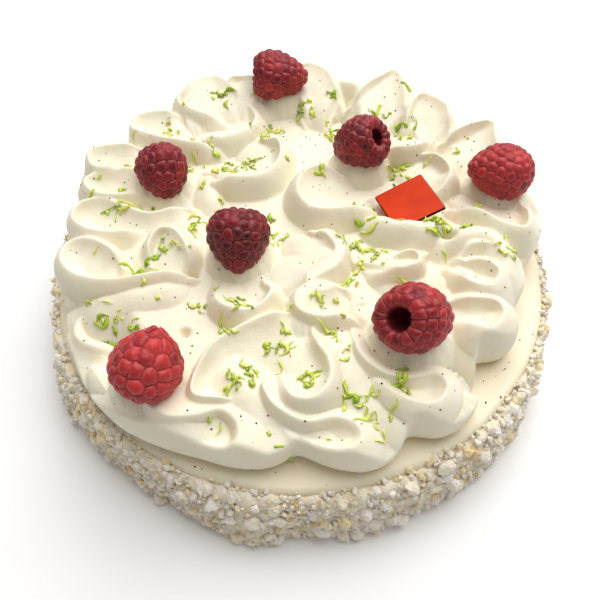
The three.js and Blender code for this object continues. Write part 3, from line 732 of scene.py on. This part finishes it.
# %% Loose crumbs
def add_crumbs(name, centres, sizes, cuts):
    """One mesh of many crumbs, none below the table, each with its own tint."""
    points, faces, each = broken_bits(centres, sizes, cuts)
    points[:, 2] = np.maximum(points[:, 2], 0.02)
    piece = add_piece(name, points, faces, CRUMB, smooth=False)
    tint = rng.uniform(0, 1, len(centres)) ** 1.5
    add_attribute(piece, "tint", np.repeat(tint, each))
    return piece


side_large = strewn(1000, 2.8, 7.0, 1.0, DISC_TOP - 2.2, -0.5)
side_small = strewn(3400, 1.2, 2.8, 0.5, DISC_TOP - 1.2, 0.1)
EDGE_CRUMBS = 620
edge_turn = rng.uniform(0, 2 * np.pi, EDGE_CRUMBS)
edge_r = RIM + rng.normal(0.4, 1.0, EDGE_CRUMBS)
edge_size = rng.uniform(0.9, 2.8, EDGE_CRUMBS)
edge_z = DISC_TOP - 1.0 + rng.uniform(-1.2, 0.9, EDGE_CRUMBS) - 0.6 * np.maximum(edge_r - RIM, 0)
edge = np.stack([edge_r * np.cos(edge_turn), edge_r * np.sin(edge_turn), edge_z], axis=-1)
add_crumbs("large_crumbs", *side_large, cuts=3)
small_places = np.vstack([side_small[0], edge])
small_sizes = np.concatenate([side_small[1], edge_size])
add_crumbs("small_crumbs", small_places, small_sizes, cuts=2)

# %% [markdown]
# ## Raspberries
#
# A raspberry is a cup of small juicy balls, the drupelets, pressed so tightly together that they meet in
# narrow clefts and flatten each other. Separate balls would look like a bead berry. Here each berry is
# one closed skin, a profile turned round, and the skin is pushed out by how far each point lies from
# its nearest drupelet's middle compared with the next nearest: it domes up over the middles and drops
# where two are equally far, which is just where real drupelets meet.


# %% Berry shape
BERRIES = {
    # length, width, depth across it, taper towards the tip, size of a drupelet, tone, way the open end faces
    "raspberry_back": (20, 18.8, 18.8, 0.6, 3.5, 0.58, (-1, 0, 0.05)),
    "raspberry_left": (16.6, 17.8, 17.8, 0.55, 3.6, 0.46, (-0.25, 0.8, 0.4)),
    "raspberry_middle": (18.8, 18.3, 18.3, 0.6, 3.3, 0.46, (0.69, -0.32, 0.64)),
    "raspberry_right": (20.8, 19.5, 19.5, 0.75, 3.5, 0.76, (0.93, 0.15, -0.3)),
    "raspberry_centre": (18.5, 19.3, 19.3, 0.7, 3.5, 0.3, (0, 0.85, 0.5)),
    "raspberry_front": (21, 22.8, 19.5, 0.6, 4.0, 0.62, (-0.66, -0.45, 0.6)),
    "raspberry_near": (18.5, 21, 20.5, 0.8, 4.2, 0.84, (-0.35, -0.5, -0.78)),
}
SHOULDER = 0.74
HOLE = 0.36


def berry_girth(t, taper):
    """Half width from tip (0) to open end (1): a power of a quarter sine up to the shoulder, then a slow
    tuck, cos^0.6, through 48 degrees."""
    below = np.sin(np.clip(t / SHOULDER, 0, 1) * np.pi / 2) ** taper
    above = np.cos(np.radians(48) * np.clip((t - SHOULDER) / (1 - SHOULDER), 0, 1)) ** 0.6
    return np.where(t < SHOULDER, below, above)


def facing(opening):
    """Three unit vectors, the last one along the opening."""
    up = np.array(opening, float) / np.linalg.norm(opening)
    side = np.cross(up, [0, 0.8, 0.6])
    side /= np.linalg.norm(side)
    return np.stack([side, np.cross(up, side), up], axis=1)


def meridian(length, width, taper, rows):
    """The outline at equal steps of its length, as radius, height and share of the way: up the side, over
    a lip that is half an ellipse, and down into the hole, whose wall narrows with the depth squared."""
    t = 1 - np.cos(np.linspace(0.08, np.pi / 2, 120))
    side_r, side_z = berry_girth(t, taper) * width / 2, (t - 0.5) * length - 1.2
    hole = HOLE * width / 2
    half = (side_r[-1] - hole) / 2
    turn = np.linspace(0, np.pi, 40)[1:]
    lip_r, lip_z = hole + half + half * np.cos(turn), side_z[-1] + 0.55 * half * np.sin(turn)
    d = np.linspace(0, 1, 30)[1:]
    r = np.concatenate([side_r, lip_r, hole * (1 - 0.6 * d**2)])
    z = np.concatenate([side_z, lip_z, side_z[-1] - 0.34 * length * d])
    along = np.concatenate([[0], np.cumsum(np.hypot(np.diff(r), np.diff(z)))])
    even = np.linspace(0, along[-1], rows)
    crown = along[120 + 16]
    return np.interp(even, along, r), np.interp(even, along, z), even, crown


def drupelet_middles(r, z, along, crown, size):
    """Rows up the side, 0.88 of a drupelet apart, each with as many as fit round it and turned by half a
    drupelet against the last. The last row sits on the crown of the lip."""
    rows = max(4, int(round(crown / (size * 0.88))))
    middles = []
    for k, s in enumerate(np.linspace(size * 0.3, crown, rows)):
        radius, height = np.interp(s, along, r), np.interp(s, along, z)
        count = max(3, int(round(2 * np.pi * radius / size * (1.25 if k == rows - 1 else 1))))
        turn = 2 * np.pi * (np.arange(count) + 0.5 * (k % 2) + rng.uniform(-0.24, 0.24, count)) / count
        lift = height + rng.uniform(-0.2, 0.2, count) * size * (k < rows - 1)
        middles.append(np.stack([radius * np.cos(turn), radius * np.sin(turn), lift], axis=-1))
    return np.vstack(middles)


def make_berry(length, width, depth, taper, size):
    """A turned skin, squashed to its depth, pushed out along its normal by 0.27 size (1 - u^2)^0.55, where
    u = 2 a / (a + b), and a and b are the distances to the nearest and next nearest middle. Also returns
    u, the number of the nearest drupelet and the depth in the hole, for the colours; the depth also darkens
    the hole as painted shade."""
    rows, columns = ((128, 176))
    r, z, along, crown = meridian(length, width, taper, rows)
    middles = drupelet_middles(r, z, along, crown, size)
    turn = np.linspace(0, 2 * np.pi, columns, endpoint=False)
    lumps = 1 + 0.035 * np.sin(2 * turn + rng.uniform(0, 6)) + 0.02 * np.sin(3 * turn + z[:, None] / 4)
    skin = np.stack([r[:, None] * lumps * np.cos(turn), r[:, None] * lumps * np.sin(turn),
                     z[:, None] + 0 * turn], axis=-1)
    away = np.linalg.norm(skin.reshape(-1, 1, 3) - middles, axis=2)
    nearest = away.argmin(axis=1)
    a, b = np.partition(away, 1, axis=1)[:, :2].T
    u = (2 * a / (a + b)).reshape(rows, columns)
    in_hole = ease(crown + 1.5, crown + 4.5, along)[:, None] + 0 * turn
    height = size * 0.27 * np.clip(1 - u**2, 0, 1) ** 0.55 * (1 - 0.85 * in_hole)
    height *= rng.uniform(0.8, 1.2, len(middles))[nearest].reshape(rows, columns)
    slope_r, slope_z = np.gradient(r), np.gradient(z)
    long = np.hypot(slope_r, slope_z)
    out_r, out_z = (slope_z / long)[:, None], (-slope_r / long)[:, None]
    out = np.stack([out_r * np.cos(turn), out_r * np.sin(turn), out_z + 0 * turn], axis=-1)
    skin += height[..., None] * out
    skin[..., 1] *= depth / width
    return skin, u, nearest.reshape(rows, columns), in_hole, middles


# %% [markdown]
# ### Berry skin
#
# The skin of a drupelet is thin and glossy, but a fine down dulls it. The colour is paler where the
# drupelets turn away to the clefts, partly for the down and partly as a painted sheen, and nearly black in
# the clefts as painted shade, since light hardly gets into them. The number u from the shape above says
# where that is, so it is stored on the points and the finish reads it.


# %% Berry finish
def make_raspberry():
    """Red by tint, which is darker deep in the hole as painted shade, and paled by a dust in patches.
    Paler towards the clefts for the down and as a painted sheen, and nearly black in the clefts as painted
    shade.
    """
    finish, shader = new_finish("raspberry_flesh", roughness=0.36, softness=0.15, sheen=0.1, level=0.42)
    shader.inputs["Subsurface Radius"].default_value = (1.0, 0.2, 0.15)
    shader.inputs["Subsurface Scale"].default_value = 0.001
    shader.inputs["Sheen Roughness"].default_value = 0.5
    shader.inputs["Sheen Tint"].default_value = (1.0, 0.6, 0.6, 1)
    tint = node(finish, "ShaderNodeAttribute", attribute_name="tint")
    cleft = node(finish, "ShaderNodeAttribute", attribute_name="cleft")
    bloom = pattern(finish, "ShaderNodeTexNoise", 0.9, detail=6.0)
    skin_colour = ramp(finish, tint.outputs["Fac"], [
        (0.0, (0.03, 0.002, 0.004)), (0.2, (0.14, 0.011, 0.018)), (0.5, (0.30, 0.02, 0.03)),
        (1.0, (0.66, 0.06, 0.06))])
    dust = ramp(finish, bloom.outputs["Fac"], [(0.45, (0, 0, 0)), (0.75, (0.14, 0.14, 0.14))])
    dusty = stain(finish, skin_colour, (0.62, 0.24, 0.24), dust)
    # Paler near the clefts: partly the down, partly a painted sheen.
    down = ramp(finish, cleft.outputs["Fac"], [(0.5, (0, 0, 0)), (0.88, (0.3, 0.3, 0.3)), (0.95, (0, 0, 0))])
    downy_with_painted_sheen = stain(finish, dusty, (0.66, 0.22, 0.21), down)
    # Nearly black in the clefts: painted shade.
    dark = ramp(finish, cleft.outputs["Fac"], [(0.94, (0, 0, 0)), (1.0, (0.5, 0.5, 0.5))])
    link(finish, stain(finish, downy_with_painted_sheen, (0.05, 0.002, 0.005), dark), shader.inputs["Base Color"])
    relief(finish, shader, [(bloom.outputs["Fac"], 0.18)])
    return finish


def make_hair():
    """Pale brown, lighter and darker along its way."""
    finish, shader = new_finish("berry_hair", roughness=0.6, level=0.3)
    tone = pattern(finish, "ShaderNodeTexNoise", 0.8)
    colour = ramp(finish, tone.outputs["Fac"], [(0.3, (0.36, 0.14, 0.09)), (0.7, (0.72, 0.45, 0.34))])
    link(finish, colour, shader.inputs["Base Color"])
    return finish


RASPBERRY = make_raspberry()
HAIR = make_hair()


def upright(out):
    """Three unit vectors for each place, the last one along out."""
    side = np.cross(out, [0.13, 0.21, 0.97])
    side /= np.linalg.norm(side, axis=1)[:, None]
    return np.stack([side, np.cross(out, side), out], axis=2)


def hairs(roots, ways, length, width=0.05, joints=5):
    """Three-sided tapering threads from each root: they start along their way and sag sideways with the
    square of the length gone."""
    count = len(roots)
    s = np.linspace(0, 1, joints)
    bend = np.cross(ways, rng.normal(size=(count, 3)))
    spine = roots[:, None] + (ways[:, None] * s[:, None] + 0.7 * bend[:, None] * s[:, None] ** 2) * \
        length[:, None, None]
    frames = upright(ways)
    turn = np.arange(3) * 2 * np.pi / 3
    ring = (frames[:, :, 0][:, None] * np.cos(turn)[:, None]
            + frames[:, :, 1][:, None] * np.sin(turn)[:, None])
    points = spine[:, :, None] + ring[:, None] * (width * (1 - 0.8 * s))[:, None, None]
    faces = []
    for j in range(joints - 1):
        for c in range(3):
            n = (c + 1) % 3
            faces.append([j * 3 + c, j * 3 + n, (j + 1) * 3 + n])
            faces.append([j * 3 + c, (j + 1) * 3 + n, (j + 1) * 3 + c])
    faces += [[2, 1, 0], [joints * 3 - 3, joints * 3 - 2, joints * 3 - 1]]
    numbers = np.array(faces)[None] + (np.arange(count) * joints * 3)[:, None, None]
    return points.reshape(-1, 3), numbers.reshape(-1, 3)


# %% [markdown]
# ### Berries on the cake
#
# The berries lie every way: some show their open end, some their tip. Each is turned so that its opening
# faces its own way and is set on the middle of its solid's box. From the skin stand a few dry hairs,
# the withered styles of the flower, which are what one sees last and misses first.


# %% Berries in place
all_hairs = []
for name, (length, width, depth, taper, size, tone, opening) in BERRIES.items():
    middle = np.mean(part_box(name), axis=0) / MM
    turned = facing(opening)
    skin_points, u, nearest, in_hole, middles = make_berry(length, width, depth, taper, size)
    shifted = skin_points @ turned.T
    corners = shifted.reshape(-1, 3)
    shifted = shifted + middle - (corners.max(axis=0) + corners.min(axis=0)) / 2
    ends = np.array([shifted[0].mean(axis=0), shifted[-1].mean(axis=0)])
    berry = add_shell(name + "_flesh", shifted[:, ::-1], ends, RASPBERRY)
    # The tint is each drupelet's tone, darkened deep in the hole as painted shade; the pole in the hole gets
    # 0, the darkest.
    shade = np.clip(tone + rng.normal(0, 0.11, len(middles)), 0.05, 1)[nearest] * (1 - 0.55 * in_hole)
    add_attribute(berry, "tint", np.concatenate([shade[:, ::-1].ravel(), [tone, 0]]))
    add_attribute(berry, "cleft", np.concatenate([(u * (1 - in_hole))[:, ::-1].ravel(), [0, 0]]))
    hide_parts(name)
    rows, columns = u.shape
    chosen = rng.choice(int(rows * 0.72) * columns, 16, replace=False)
    roots = shifted.reshape(-1, 3)[chosen]
    ways = roots - middle
    ways /= np.linalg.norm(ways, axis=1)[:, None]
    ways += rng.normal(0, 0.6, ways.shape)
    ways /= np.linalg.norm(ways, axis=1)[:, None]
    all_hairs.append(hairs(roots, ways, rng.uniform(0.8, 2.0, len(chosen))))
offsets = np.cumsum([0] + [len(points) for points, faces in all_hairs])
hair_points = np.vstack([points for points, faces in all_hairs])
hair_faces = np.vstack([faces + start for (points, faces), start in zip(all_hairs, offsets)])
add_piece("berry_hairs", hair_points, hair_faces, HAIR)

# %% [markdown]
# ## The plaque
#
# A thin square of coloured chocolate, cut from a sheet. Its edges are a little rounded and it is not quite
# flat, so it is a grid pushed through a rounded-square section rather than a plain box.


# %% Plaque
def make_plaque_finish():
    """Orange-red in slow clouds, dark along the cut edge."""
    finish, shader = new_finish("coloured_chocolate", roughness=0.5, level=0.2)
    cloud = pattern(finish, "ShaderNodeTexNoise", 0.12)
    grain = pattern(finish, "ShaderNodeTexNoise", 1.2, detail=4.0)
    colour = ramp(finish, cloud.outputs["Fac"], [(0.3, (0.66, 0.06, 0.014)), (0.7, (0.76, 0.085, 0.02))])
    edge = node(finish, "ShaderNodeAttribute", attribute_name="edge")
    shaded = stain(finish, colour, (0.10, 0.006, 0.008), edge.outputs["Fac"])
    link(finish, shaded, shader.inputs["Base Color"])
    relief(finish, shader, [(grain.outputs["Fac"], 0.05)])
    return finish


PLAQUE_ALONG = np.array([16.8, 6.6, 4.9]) / np.linalg.norm([16.8, 6.6, 4.9])
PLAQUE_DOWN = np.array([6.5, -17.5, 1.2]) / np.linalg.norm([6.5, -17.5, 1.2])
PLAQUE_SIDE = 18.7
PLAQUE_THICKNESS = 1.2


def plaque_surface(spokes=160, rings=14):
    """A rounded square about its middle: along each spoke the radius is that of a square with the power
    60, the thickness is rounded off in the last tenth, and the whole sags by 0.3 mm along a diagonal."""
    turn = np.linspace(0, 2 * np.pi, spokes, endpoint=False)
    square = (np.abs(np.cos(turn)) ** 60 + np.abs(np.sin(turn)) ** 60) ** (-1 / 60)
    inner = np.linspace(0.08, 0.97, rings)
    reach = np.concatenate([inner, [0.99, 1.0, 1.0, 0.99], inner[::-1]])
    level = np.concatenate([np.full(rings, 0.5), [0.46, 0.3, -0.3, -0.46], np.full(rings, -0.5)])
    x = reach[:, None] * square * np.cos(turn) * PLAQUE_SIDE / 2
    y = reach[:, None] * square * np.sin(turn) * PLAQUE_SIDE / 2
    z = level[:, None] * PLAQUE_THICKNESS - 0.3 * ((x + y) / PLAQUE_SIDE) ** 2
    return x, y, z, np.repeat((np.abs(level) < 0.48)[:, None], spokes, axis=1)


px, py, pz, on_edge = plaque_surface()
low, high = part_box("plaque")
plaque_middle = np.array((low + high) / 2) / MM
across = np.cross(PLAQUE_ALONG, PLAQUE_DOWN)
across = across if across[2] > 0 else -across
grid = px[..., None] * PLAQUE_ALONG + py[..., None] * PLAQUE_DOWN + pz[..., None] * across + plaque_middle
half_thick = across * PLAQUE_THICKNESS / 2
hubs = np.array([plaque_middle + half_thick, plaque_middle - half_thick])
flip = np.linalg.det(np.stack([PLAQUE_ALONG, PLAQUE_DOWN, across])) < 0
outward = grid[:, ::-1] if flip else grid
plaque = add_shell("plaque_plate", outward, hubs, make_plaque_finish())
edge_values = (on_edge[:, ::-1] if flip else on_edge).astype(float).ravel()
add_attribute(plaque, "edge", np.concatenate([edge_values, [0, 0]]))
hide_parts("plaque")

# %% [markdown]
# ## Strewn on top
#
# Lime zest comes off a grater as curly shreds, thicker in the middle, from yellow to deep green. They
# fall in small clusters. The specks are seeds of a vanilla pod. Both lie on the cream, so their height is
# read from the landscape.


# %% Zest and specks
def make_zest():
    """From pale yellow-green to deep green by tint, with pale oil glands."""
    finish, shader = new_finish("lime_zest", roughness=0.45, softness=0.1, level=0.4)
    shader.inputs["Subsurface Scale"].default_value = 0.0008
    tint = node(finish, "ShaderNodeAttribute", attribute_name="tint")
    mottle = pattern(finish, "ShaderNodeTexNoise", 1.4, detail=4.0)
    colour = ramp(finish, tint.outputs["Fac"], [
        (0.0, (0.90, 0.92, 0.32)), (0.4, (0.70, 0.83, 0.14)), (0.75, (0.46, 0.65, 0.05)),
        (1.0, (0.24, 0.42, 0.02))])
    shade = ramp(finish, mottle.outputs["Fac"], [(0.35, (0, 0, 0)), (0.7, (0.5, 0.5, 0.5))])
    link(finish, stain(finish, colour, (0.78, 0.86, 0.25), shade), shader.inputs["Base Color"])
    relief(finish, shader, [(mottle.outputs["Fac"], 0.15)])
    return finish


def make_seed():
    """Nearly black, a little browner in patches."""
    finish, shader = new_finish("vanilla_seed", roughness=0.5, level=0.3)
    tone = pattern(finish, "ShaderNodeTexNoise", 2.0)
    colour = ramp(finish, tone.outputs["Fac"], [(0.3, (0.012, 0.008, 0.006)), (0.7, (0.05, 0.03, 0.02))])
    link(finish, colour, shader.inputs["Base Color"])
    return finish


def surface_normal(x, y):
    """Upward normal of the cream from its height 0.6 mm to each side."""
    h = 0.6
    slope_x = (cream_height(x + h, y) - cream_height(x - h, y)) / (2 * h)
    slope_y = (cream_height(x, y + h) - cream_height(x, y - h)) / (2 * h)
    normal = np.stack([-slope_x, -slope_y, np.ones_like(x)], axis=-1)
    return normal / np.linalg.norm(normal, axis=-1)[..., None]


def shreds(x, y, length, joints=11):
    """Strips whose heading turns steadily, so that each is an arc or a curl on the cream; the section is a
    flat rounded band, thickest in the middle of the strip."""
    count = len(x)
    s = np.linspace(0, 1, joints)
    heading = rng.uniform(0, 2 * np.pi, (count, 1)) + s * rng.normal(0, 1.5, (count, 1)) + \
        rng.normal(0, 0.7, (count, 1)) * np.sin(2 * np.pi * s)
    step = length[:, None] / (joints - 1)
    px = x[:, None] + np.cumsum(np.cos(heading) * step, axis=1)
    py = y[:, None] + np.cumsum(np.sin(heading) * step, axis=1)
    rise, arches = rng.uniform(0, 0.9, (count, 1)), rng.uniform(0.5, 1.6, (count, 1))
    lift = 0.15 + rise * np.abs(np.sin(np.pi * s * arches))
    normal = surface_normal(px, py)
    spine = np.stack([px, py, cream_height(px, py) + DISC_TOP], axis=-1) + normal * lift[..., None]
    way = np.gradient(spine, axis=1)
    way /= np.linalg.norm(way, axis=2)[..., None]
    side = np.cross(normal, way)
    side /= np.linalg.norm(side, axis=2)[..., None]
    up = np.cross(way, side)
    roll = rng.uniform(-1.2, 1.2, (count, 1)) + s * rng.normal(0, 1.2, (count, 1))
    flat = side * np.cos(roll)[..., None] + up * np.sin(roll)[..., None]
    thin = up * np.cos(roll)[..., None] - side * np.sin(roll)[..., None]
    half = rng.uniform(0.3, 0.95, (count, 1)) * (0.3 + 0.7 * np.sin(np.pi * (0.08 + 0.84 * s)))
    half = half * (1 + 0.45 * np.sin(rng.uniform(0, 6, (count, 1)) + 9 * s))
    corners = [(-1, 0), (0, -0.3), (1, 0), (0, 0.3)]
    points = np.stack([spine + flat * (a * half)[..., None] + thin * (b * half)[..., None]
                       for a, b in corners], axis=2)
    faces = []
    for j in range(joints - 1):
        for c in range(4):
            faces.append([j * 4 + c, j * 4 + (c + 1) % 4, (j + 1) * 4 + (c + 1) % 4, (j + 1) * 4 + c])
    faces += [[3, 2, 1, 0], [joints * 4 - 4, joints * 4 - 3, joints * 4 - 2, joints * 4 - 1]]
    numbers = np.array(faces)[None] + (np.arange(count) * joints * 4)[:, None, None]
    return points.reshape(-1, 3), numbers.reshape(-1, 4), joints * 4


CLUSTERS = [
    # angle, radius, spread in mm, how full from 1 to 9
    # behind
    (115, 73, 1.5, 4), (137, 69, 2.0, 4), (131, 51, 1.5, 3), (143, 54, 1.5, 3), (134, 41, 1.5, 5),
    (122, 37, 1.5, 6), (108, 45, 1.5, 2), (154, 41, 1.0, 1), (101, 55, 1.5, 2), (89, 61, 2.0, 6),
    (77, 54, 1.5, 4), (77, 70, 1.5, 3), (58, 83, 1.0, 3), (54, 86, 1.0, 1), (50, 63, 2.0, 9),
    (60, 62, 1.0, 3), (37, 44, 1.5, 4), (70, 27, 1.5, 2),
    # on the left
    (174, 66, 1.5, 5), (181, 38, 1.5, 3), (195, 45, 1.5, 3), (202, 56, 1.5, 4), (211, 71, 1.5, 4),
    (213, 76, 1.5, 3), (217, 66, 1.5, 2),
    # about the middle
    (174, 12, 2.0, 5), (214, 10, 1.5, 4), (2, 21, 1.5, 3), (337, 22, 1.5, 4), (309, 27, 1.5, 6),
    (328, 30, 1.5, 4), (341, 32, 1.0, 2),
    # on the right, most of them below the plaque
    (355, 46, 1.5, 7), (352, 51, 1.5, 6), (355, 57, 1.5, 3), (350, 69, 1.5, 3), (324, 45, 1.0, 2),
    # in front
    (228, 46, 1.5, 4), (239, 42, 1.5, 4), (240, 51, 1.5, 3), (253, 67, 1.0, 2), (252, 76, 1.5, 2),
    (256, 62, 1.5, 4), (262, 51, 1.5, 4), (272, 62, 1.5, 5), (264, 82, 1.0, 2), (285, 45, 2.0, 7),
    (285, 55, 1.5, 3), (284, 70, 1.5, 5), (288, 77, 1.5, 3), (296, 70, 1.5, 6), (280, 35, 1.0, 2),
    (266, 38, 1.0, 2),
]
SHREDS_PER_FULLNESS = 2
ALONE = 90
places = []
for angle, radius, spread, fullness in CLUSTERS:
    places.append(polar(angle, radius) + rng.normal(0, spread, (SHREDS_PER_FULLNESS * fullness, 2)))
places.append(polar(rng.uniform(0, 360, ALONE), 80 * np.sqrt(rng.uniform(0, 1, ALONE))))
zest_x, zest_y = np.vstack(places).T
lies_flat = surface_normal(zest_x, zest_y)[:, 2] > 0.7
zest_x, zest_y = zest_x[lies_flat], zest_y[lies_flat]
points, faces, each = shreds(zest_x, zest_y, 1.3 + 5.5 * rng.uniform(0, 1, len(zest_x)) ** 1.4)
zest = add_piece("lime_zest", points, faces, make_zest())
add_attribute(zest, "tint", np.repeat(rng.uniform(0, 1, len(zest_x)) ** 1.4, each))

SPECKS = 420
speck = polar(rng.uniform(0, 360, SPECKS), 88 * np.sqrt(rng.uniform(0, 1, SPECKS)))
ball, ball_faces = cube_skin(1)
lie = surface_normal(speck[:, 0], speck[:, 1])
speck_size = rng.uniform(0.16, 0.42, (SPECKS, 1, 1))
bits = np.einsum("cij,vj->cvi", upright(lie), ball * [1, 1, 0.5]) * speck_size
speck_height = cream_height(speck[:, 0], speck[:, 1])
centre = np.column_stack([speck, np.maximum(speck_height, 0) + DISC_TOP])
bits = (bits + centre[:, None])[(speck_height > 1) | (speck_height < -4)]
numbers = ball_faces[None] + (np.arange(len(bits)) * len(ball))[:, None, None]
add_piece("vanilla_seeds", bits.reshape(-1, 3), numbers.reshape(-1, 4), make_seed())

# %% [markdown]
# ## Camera, floor and light
#
# The view looks down steeply on the cake from the front. One large soft lamp hangs above and behind it,
# so that the fronts of the folds fall into a gentle shade, and a white room fills in the rest.

# %% Studio
bpy.context.scene.view_settings.view_transform = "Standard"
bpy.context.scene.view_settings.gamma = 0.82
bpy.context.scene.view_settings.exposure = 0.15
LOOKING_DOWN = 55.1
camera_data = bpy.data.cameras.new("camera")
camera_data.lens = 36
camera_data.sensor_width = 36
camera = bpy.data.objects.new("camera", camera_data)
camera.location = (0, -0.1439, 0.2013)
camera.rotation_euler = (math.radians(90 - LOOKING_DOWN), 0, 0)
bpy.context.scene.collection.objects.link(camera)
bpy.context.scene.camera = camera

world = bpy.data.worlds.new("studio")
world.use_nodes = True
world.node_tree.nodes["Background"].inputs["Color"].default_value = (1, 0.99, 0.97, 1)
world.node_tree.nodes["Background"].inputs["Strength"].default_value = 0.3
bpy.context.scene.world = world


def add_softbox(name, place, aim, size, energy):
    """A square lamp that faces the point it is aimed at."""
    data = bpy.data.lights.new(name, "AREA")
    data.size = size
    data.energy = energy
    lamp = bpy.data.objects.new(name, data)
    lamp.location = place
    away = np.array(place) - np.array(aim)
    flat = math.hypot(away[0], away[1])
    lamp.rotation_euler = (math.atan2(flat, away[2]), 0, math.atan2(away[0], -away[1]))
    bpy.context.scene.collection.objects.link(lamp)


add_softbox("overhead", (0.3, 0.6, 1.35), (0, 0, 0.03), 1.7, 26)

floor_mesh = bpy.data.meshes.new("floor")
floor_mesh.from_pydata([(-3, -3, 0), (3, -3, 0), (3, 3, 0), (-3, 3, 0)], [], [(0, 1, 2, 3)])
floor = bpy.data.objects.new("floor", floor_mesh)
floor_finish, floor_shader = new_finish("pale_floor", roughness=0.7, level=0.2)
floor_shader.inputs["Base Color"].default_value = (0.96, 0.96, 0.96, 1)
floor_mesh.materials.append(floor_finish)
bpy.context.scene.collection.objects.link(floor)
